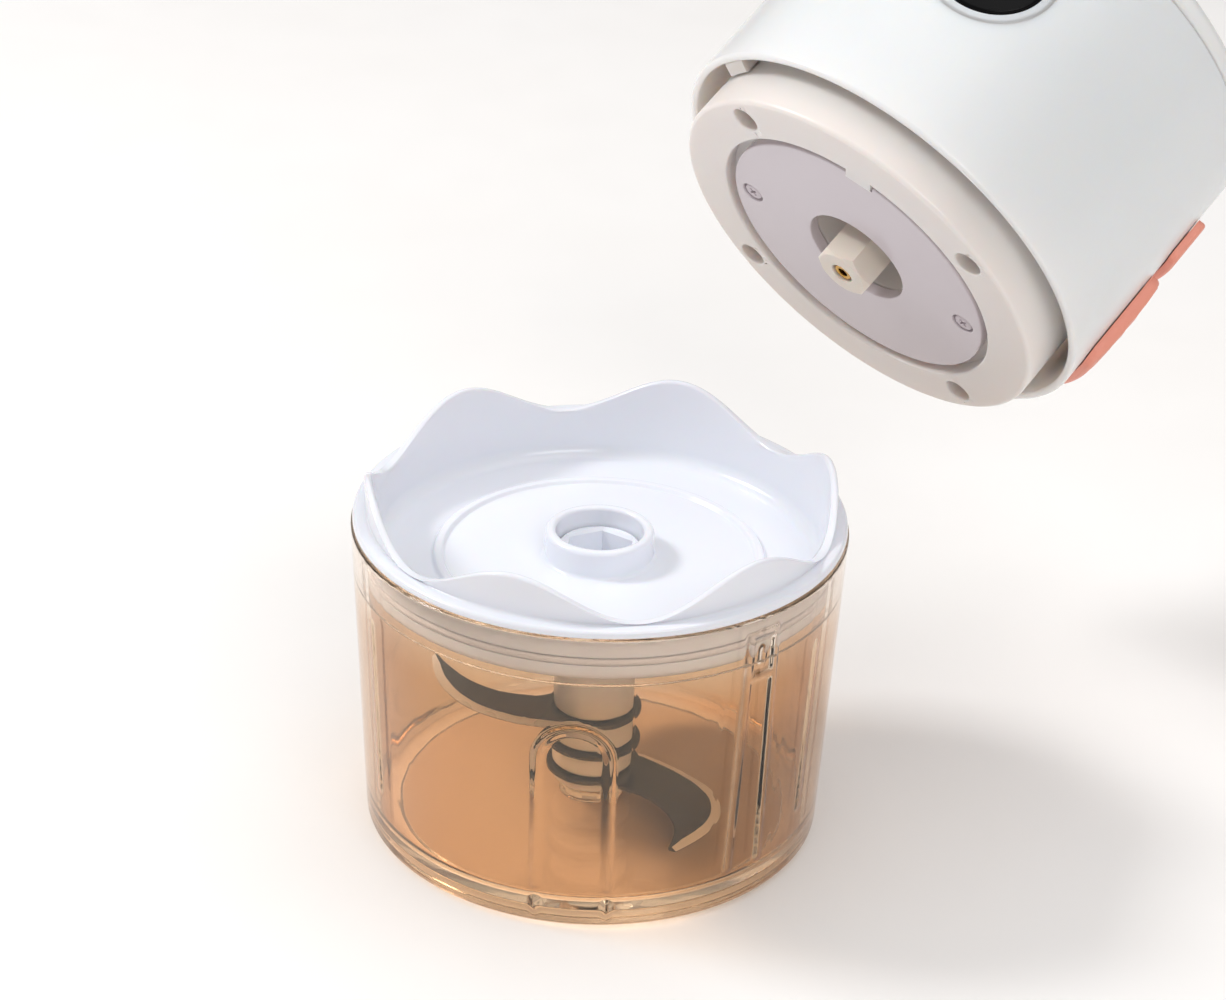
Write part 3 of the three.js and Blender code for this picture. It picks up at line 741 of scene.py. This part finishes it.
def make_flange():
    """The flange with its well, gap and screw holes, and the disc let into its face."""
    wall_r = FLANGE_R - HOUSING_WALL
    body = rounded([
        (RECESS_R, 0, 0.5), (FLANGE_R, 0, 1.2), (FLANGE_R, GAP_CEILING, 1.5),
        (CEILING_R, GAP_CEILING, 0), (CEILING_R, GAP_CEILING + PLATE, 0),
        (wall_r, GAP_CEILING + PLATE, 0), (wall_r, FLANGE_DEPTH, 0),
        (WELL_BORE + PLATE, FLANGE_DEPTH, 0), (WELL_BORE + PLATE, WELL_DEPTH + PLATE, 0),
        (SHAFT_DOOR_R, WELL_DEPTH + PLATE, 0), (SHAFT_DOOR_R, WELL_DEPTH, 0.3),
        (WELL_BORE, WELL_DEPTH, 0.8), (WELL_BORE, RECESS_DEPTH, 0.4), (RECESS_R, RECESS_DEPTH, 0.3),
    ])
    housing = revolve("flange_moulding", body, evenly(240))
    tab = block("tab", KEY_TAB, RECESS_R - 1.2, KEY_AZIMUTH, 1.0)
    carve(housing, [tab], "UNION")
    sinks = [at(flared_hole("hole", SINK_R, SINK_DEPTH, 0.4), FLANGE_SCREW_R, a) for a in FLANGE_SCREWS]
    carve(housing, sinks)
    bores = [at(round_bar("bore", SCREW_HOLE_R, 3, 12, 24), FLANGE_SCREW_R, a) for a in FLANGE_SCREWS]
    carve(housing, bores)
    place(housing, HEAD, "motor_head", flange_bounce_white, "flange_plastic", "flange_housing")

    inner = WELL_BORE - 0.2
    plate = rounded([
        (inner, disc_face, 0.4), (disc_r, disc_face, 0.5), (disc_r, disc_back, 0.2),
        (inner, disc_back, 0.2),
    ])
    disc = revolve("disc_moulding", plate, evenly(240))
    pockets = [at(flared_hole("pocket", POCKET_R, POCKET_DEPTH, 0.35, disc_face), DISC_SCREW_R, a)
               for a in DISC_SCREWS]
    notch = block("notch", KEY_NOTCH, RECESS_R - 1.5, KEY_AZIMUTH, 2)
    carve(disc, [*pockets, notch])
    place(disc, HEAD, "motor_head", disc_grey, "disc_plastic", "flange_disc")


def screw(name, head_r, head_low, head_high, shank_r, tip):
    """A pan-head screw with a cross recess, its head towards the open air."""
    pitch = 0.6
    root_r = shank_r - 0.25
    threads = []
    z = head_high + pitch
    while z < tip - 1.4:
        threads += [(root_r, z, 0), (shank_r, z + pitch / 2, 0)]
        z += pitch
    outline = rounded([
        (0, head_low, 0), (head_r, head_low, 0.6), (head_r, head_high, 0.15), (root_r, head_high, 0.1),
        *threads, (shank_r - 0.3, tip - 1, 0), (0, tip, 0),
    ], closed=False, steps=4)
    made = revolve(name, outline, evenly(40))
    arms = [block("arm", (0.55, 2.5, 1.1), 0, turn, head_low) for turn in (20, 110)]
    return carve(made, arms)


def make_screws():
    for i, azimuth in enumerate(FLANGE_SCREWS, 1):
        made = screw(f"flange_fixing_{i}", head_r=2.9, head_low=3.5, head_high=4.5, shank_r=1.4, tip=9.5)
        at(made, FLANGE_SCREW_R, azimuth)
        place(made, HEAD, "motor_head", screw_steel, "screw_steel", f"flange_screw_{i}")
    for i, azimuth in enumerate(DISC_SCREWS, 1):
        made = screw(f"disc_fixing_{i}", head_r=2.5, head_low=disc_face + 0.3, head_high=disc_face + 1.1,
                     shank_r=1.2, tip=9.2)
        at(made, DISC_SCREW_R, azimuth)
        place(made, HEAD, "motor_head", coated_steel, "screw_steel", f"disc_screw_{i}")


def make_coupling():
    """The hexagonal drive with its chamfered nose, round neck and brass bush."""
    hexagon = [(0, hex_tip), (hex_r, hex_tip), (hex_r, 9), (0, 9)]
    prism = revolve("hex_drive", hexagon, evenly(6, HEX_TURN))
    wide = hex_r + 0.2
    cone = rounded([
        (0, hex_tip, 0), (hex_r - 1.5, hex_tip, 0.3), (wide, hex_tip + 1.2, 0.3), (wide, 9.5, 0),
        (0, 9.5, 0),
    ], closed=False)
    carve(prism, [revolve("cone", cone, evenly(96))], "INTERSECT")
    carve(prism, [round_bar("neck", NECK_R, NECK_LOW, neck_top, 72)], "UNION")
    mouth_r = HEX_BORE + 0.95
    bore = [(0, hex_tip - 1), (mouth_r, hex_tip - 1), (HEX_BORE, hex_tip + 0.6), (HEX_BORE, 20), (0, 20)]
    carve(prism, [revolve("bore", bore, evenly(40))])
    place(prism, HEAD, "drive", nylon, "white_plastic", "drive_coupling")
    insert_r, insert_low, insert_high = reach("brass_insert", HEAD)
    sleeve = rounded([
        (BUSH_BORE, insert_low, 0.25), (insert_r, insert_low, 0.3), (insert_r, insert_high, 0.2),
        (BUSH_BORE, insert_high, 0.1),
    ])
    place(revolve("brass_bush", sleeve, evenly(40)), HEAD, "drive", brass, "brass", "brass_insert")


def on_barrel(across, up, r, spot):
    """The point at that distance across and up from a spot of the barrel, at a radius from its axis."""
    angle = math.radians(spot["azimuth"]) + across / skirt_r
    return r * math.cos(angle), r * math.sin(angle), spot["height"] + up


def beside_spoke(across, up, r, spot):
    """As on_barrel, but measured square to the spot's outward direction, so a slide along it is clear."""
    angle = math.radians(spot["azimuth"]) + math.asin(across / r)
    return r * math.cos(angle), r * math.sin(angle), spot["height"] + up


def curved_outline(width, height, corner):
    """Points round a rectangle with round corners, as many for any size."""
    half_w, half_h = width / 2, height / 2
    steps, parts = 8, 8
    ring = rounded([
        (-half_w, -half_h, corner), (half_w, -half_h, corner),
        (half_w, half_h, corner), (-half_w, half_h, corner),
    ], steps=steps)
    points = []
    for i, (start, end) in enumerate(zip(ring, ring[1:] + ring[:1])):
        count = parts if i % (steps + 1) == steps else 1
        points += [Vector(start).lerp(Vector(end), k / count) for k in range(count)]
    return points


def hoop(name, spot, r, section, count=96):
    """A ring of that radius round a spot of the barrel. Its section is of (offset, radius from the axis)."""
    vertices, rows = [], []
    for angle in evenly(count):
        rows.append([])
        for offset, out in section:
            across, up = (r + offset) * math.cos(angle), (r + offset) * math.sin(angle)
            rows[-1].append(len(vertices))
            vertices.append(beside_spoke(across, up, out, spot))
    return mesh_object(name, vertices, skin(rows, closed=True))


def disc_on_barrel(name, spot, section, count=96):
    """A round cap on the barrel: (radius across, radius from the head's axis) from its foot over its face."""
    vertices, rows = [], []
    for r, out in section:
        if r < 1e-6:
            rows.append([len(vertices)] * count)
            vertices.append(beside_spoke(0, 0, out, spot))
            continue
        rows.append([])
        for angle in evenly(count):
            rows[-1].append(len(vertices))
            vertices.append(beside_spoke(r * math.cos(angle), r * math.sin(angle), out, spot))
    return mesh_object(name, vertices, skin(rows))


def make_button():
    """The slightly domed button, and the narrow ring that it slides in."""
    r = BUTTON["r"]
    foot = skirt_r - SHELL_WALL + 0.2
    edge = skirt_r + BUTTON_RISE
    under = [(r * k / 6, foot) for k in range(5)]
    face = [(r * k / 6, skirt_r + 0.6 - 0.2 * (k / 6) ** 2) for k in range(4, -1, -1)]
    side = rounded([(r * 5 / 6, foot, 0), (r, foot, 0.2), (r, edge, 0.7), (*face[0], 0)], closed=False)
    cap = disc_on_barrel("button_cap", BUTTON, under + side + face[1:])
    place(cap, HEAD, "button", black_gloss, "black_button", "power_button", crease=40)

    wide = BEZEL_R - r
    back = skirt_r - 4.0
    ring = rounded([
        (GAP, back, 0.2), (wide, back, 0.2), (wide, skirt_r + 0.03, 0), (wide + 0.8, skirt_r + 0.03, 0),
        (wide + 0.5, skirt_r + 0.12, 0.2), (GAP, skirt_r + 0.2, 0.3),
    ], steps=4)
    bezel = hoop("button_ring", BUTTON, r, ring)
    place(bezel, HEAD, "motor_head", head_white, "white_plastic", "button_bezel", crease=40)


def wrapped_pad(name, spot, width, height, corner, foot, top, edge, lift=lambda up: 0):
    """A closed rubber pad round the barrel, with round corners, a round edge and a shaped face."""
    middle = min(width, height) / 2 - 0.02
    steps = 14
    bend = [(edge * (1 - math.cos(a)), top - edge + edge * math.sin(a)) for a in quarter(5)]
    face = [(edge + (middle - edge) * k / steps, top) for k in range(1, steps + 1)]
    under = [(middle * (1 - k / steps), foot) for k in range(steps)]
    vertices, rows = [], []
    for inset, r in [*under, (0, foot), *bend, *face]:
        rows.append([])
        outline = curved_outline(width - 2 * inset, height - 2 * inset, max(corner - inset, 0.01))
        for across, up in outline:
            raised = r + lift(up) * min(1, inset / edge) if r > foot else r
            rows[-1].append(len(vertices))
            vertices.append(on_barrel(across, up, raised, spot))
    return mesh_object(name, vertices, skin(rows) + [rows[0], rows[-1]])


def grip_face(up):
    """How far the grip pad's face stands out at a height from its middle: arched, with grooves across."""
    arched = 0.9 * math.cos(math.pi * up / 34)
    groove = 0.35 * max(0, math.cos(TAU * up / 4.4)) ** 2
    return arched - groove


def make_coral():
    """The grip pad and, above it, the cover over the charging port."""
    foot = skirt_r + GAP
    grip = dict(PORT, height=31.0)
    pad = wrapped_pad("grip_moulding", grip, PAD_WIDTH, height=30, corner=5, foot=foot,
                      top=skirt_r + 2.6, edge=1.2, lift=grip_face)
    place(pad, HEAD, "motor_head", coral, "coral", "grip_pad")
    cover = wrapped_pad("port_cover", PORT, PAD_WIDTH, height=14, corner=3, foot=foot,
                        top=skirt_r + 2.5, edge=0.9)
    place(cover, HEAD, "cover", coral, "coral", "charging_cover")


def make_socket():
    """The charging socket's metal shell, with its tongue."""
    shell = port_slot("socket_shell", width=9.0, height=3.4, corner=1.7, start=48.5, end=56)
    mouth = port_slot("mouth", width=8.2, height=2.6, corner=1.3, start=50, end=60)
    tongue = port_slot("tongue", width=6.4, height=0.8, corner=0.2, start=49.5, end=55)
    carve(shell, [mouth])
    carve(shell, [tongue], "UNION")
    place(shell, HEAD, "motor_head", can_steel, "screw_steel", "charge_socket")


def make_slider():
    """The wedge in the gap between the flange and the skirt."""
    inner, outer = FLANGE_R + 0.5, skirt_r - SHELL_WALL - 0.5
    _, low, high = reach("interlock_slider", HEAD)
    half = SLIDER["width"] / 2 / FLANGE_R
    start = math.radians(SLIDER["azimuth"]) - half
    outline = rounded([(inner, low, 0.4), (outer, low + 1.0, 0.6), (outer, high, 0.4), (inner, high, 0.4)])
    vertices, rows = [], []
    steps = 12
    for i in range(steps + 1):
        angle = start + 2 * half * i / steps
        rows.append([])
        for r, z in outline:
            rows[-1].append(len(vertices))
            vertices.append((r * math.cos(angle), r * math.sin(angle), z))
    wedge = mesh_object("interlock_wedge", vertices, skin(rows) + [rows[0], rows[-1]])
    place(wedge, HEAD, "interlock", flange_bounce_white, "flange_plastic", "interlock_slider")


def dress_cad_nodes():
    """The sealed inner pieces keep their CAD shape, with softened edges and a material."""
    finishes = {
        "motor_frame": head_white, "control_board": board_green, "button_switch": black_matt,
        "motor_can": can_steel, "motor_cap": black_matt, "lower_bearing": brass, "upper_bearing": brass,
        "battery_cradle": black_matt, "battery_cell": cell_blue, "drive_shaft": can_steel,
        "armature": windings,
    }
    for name, finish in finishes.items():
        node = frame["nodes"][name]
        node.data.materials.clear()
        node.data.materials.append(finish)
        soften = node.modifiers.new("soft edges", "BEVEL")
        soften.width = 0.0002
        soften.segments = 2
        soften.angle_limit = math.radians(40)


# ---- Stage ---------------------------------------------------------------------------------
def make_floor():
    outline = [(0, -20), (3000, -20), (3000, 0), (0, 0)]
    floor = revolve("floor", outline, evenly(96))
    floor.data.transform(BOWL)
    look = Look("floor_paper", roughness=0.7)
    look.colour(look.noise(6), "f9f7f5", "faf9f8")
    look.rough(look.noise(40), 0.6, 0.75)
    look.bump(look.noise(900), 0.00002)
    floor.data.materials.append(look.material)


def area_light(name, spot, target, size, power, colour):
    data = bpy.data.lights.new(name, "AREA")
    data.shape = "RECTANGLE"
    data.size, data.size_y = size
    data.energy = power
    data.color = colour
    light = bpy.data.objects.new(name, data)
    light.location = spot
    light.rotation_euler = (Vector(target) - Vector(spot)).to_track_quat("-Z", "Y").to_euler()
    bpy.context.scene.collection.objects.link(light)


def make_light():
    middle = (cad_low + cad_high) / 2
    area_light("key", (-1.1, 0.2, 1.15), middle, (0.35, 0.35), 12.0, (1.0, 0.99, 0.98))
    area_light("top", (0.3, 0.2, 1.5), middle, (1.4, 1.0), 5.6, (1.0, 0.99, 0.985))
    area_light("front", (0.55, -1.2, 1.1), middle, (0.9, 0.6), 7.5, (1.0, 0.985, 0.97))
    world = bpy.data.worlds.new("room")
    world.use_nodes = True
    bpy.context.scene.world = world
    nodes, links = world.node_tree.nodes, world.node_tree.links
    sky = nodes["Background"]
    sky.inputs["Strength"].default_value = 0.5
    up = nodes.new("ShaderNodeTexCoord")
    split = nodes.new("ShaderNodeSeparateXYZ")
    ramp = nodes.new("ShaderNodeValToRGB")
    low, high = ramp.color_ramp.elements
    low.position, low.color = 0.0, (0.42, 0.32, 0.29, 1)
    high.position, high.color = 0.6, (1.0, 1.0, 1.0, 1)
    path = nodes.new("ShaderNodeLightPath")
    shown = nodes.new("ShaderNodeMix")
    shown.data_type = "RGBA"
    shown.inputs[7].default_value = (1.8, 1.78, 1.76, 1)
    links.new(up.outputs["Generated"], split.inputs[0])
    links.new(split.outputs[2], ramp.inputs[0])
    links.new(path.outputs["Is Camera Ray"], shown.inputs[0])
    links.new(ramp.outputs[0], shown.inputs[6])
    links.new(shown.outputs[2], sky.inputs["Color"])


CAMERA_AT = (0.0028, -0.6199, 0.4014)
CAMERA_PITCH, CAMERA_ROLL = math.radians(27.2), math.radians(2.0)
CAMERA_LENS, CAMERA_SENSOR = 88.1, 36.0


def make_camera():
    """In front of the bowl and above it, looking down, level across but for a slight roll."""
    pitch, roll = CAMERA_PITCH, CAMERA_ROLL
    data = bpy.data.cameras.new("camera")
    data.sensor_width = CAMERA_SENSOR
    data.lens = CAMERA_LENS
    data.clip_end = 20
    camera = bpy.data.objects.new("camera", data)
    right = Vector((1, 0, 0))
    up = Vector((0, math.sin(pitch), math.cos(pitch)))
    ahead = Vector((0, math.cos(pitch), -math.sin(pitch)))
    rolled = math.cos(roll) * right + math.sin(roll) * up
    rolled_up = math.cos(roll) * up - math.sin(roll) * right
    turn = Matrix((rolled, rolled_up, -ahead)).transposed().to_4x4()
    camera.matrix_world = Matrix.Translation(CAMERA_AT) @ turn
    bpy.context.scene.collection.objects.link(camera)
    bpy.context.scene.camera = camera


make_camera()
make_light()
make_floor()
make_bowl()
make_base()
make_lid()
make_blades()
make_shell()
make_flange()
make_screws()
make_coupling()
make_button()
make_coral()
make_socket()
make_slider()
dress_cad_nodes()
scene = bpy.context.scene
scene.view_settings.view_transform = "Standard"
scene.cycles.max_bounces = 32
scene.cycles.transmission_bounces = 32
scene.cycles.glossy_bounces = 24
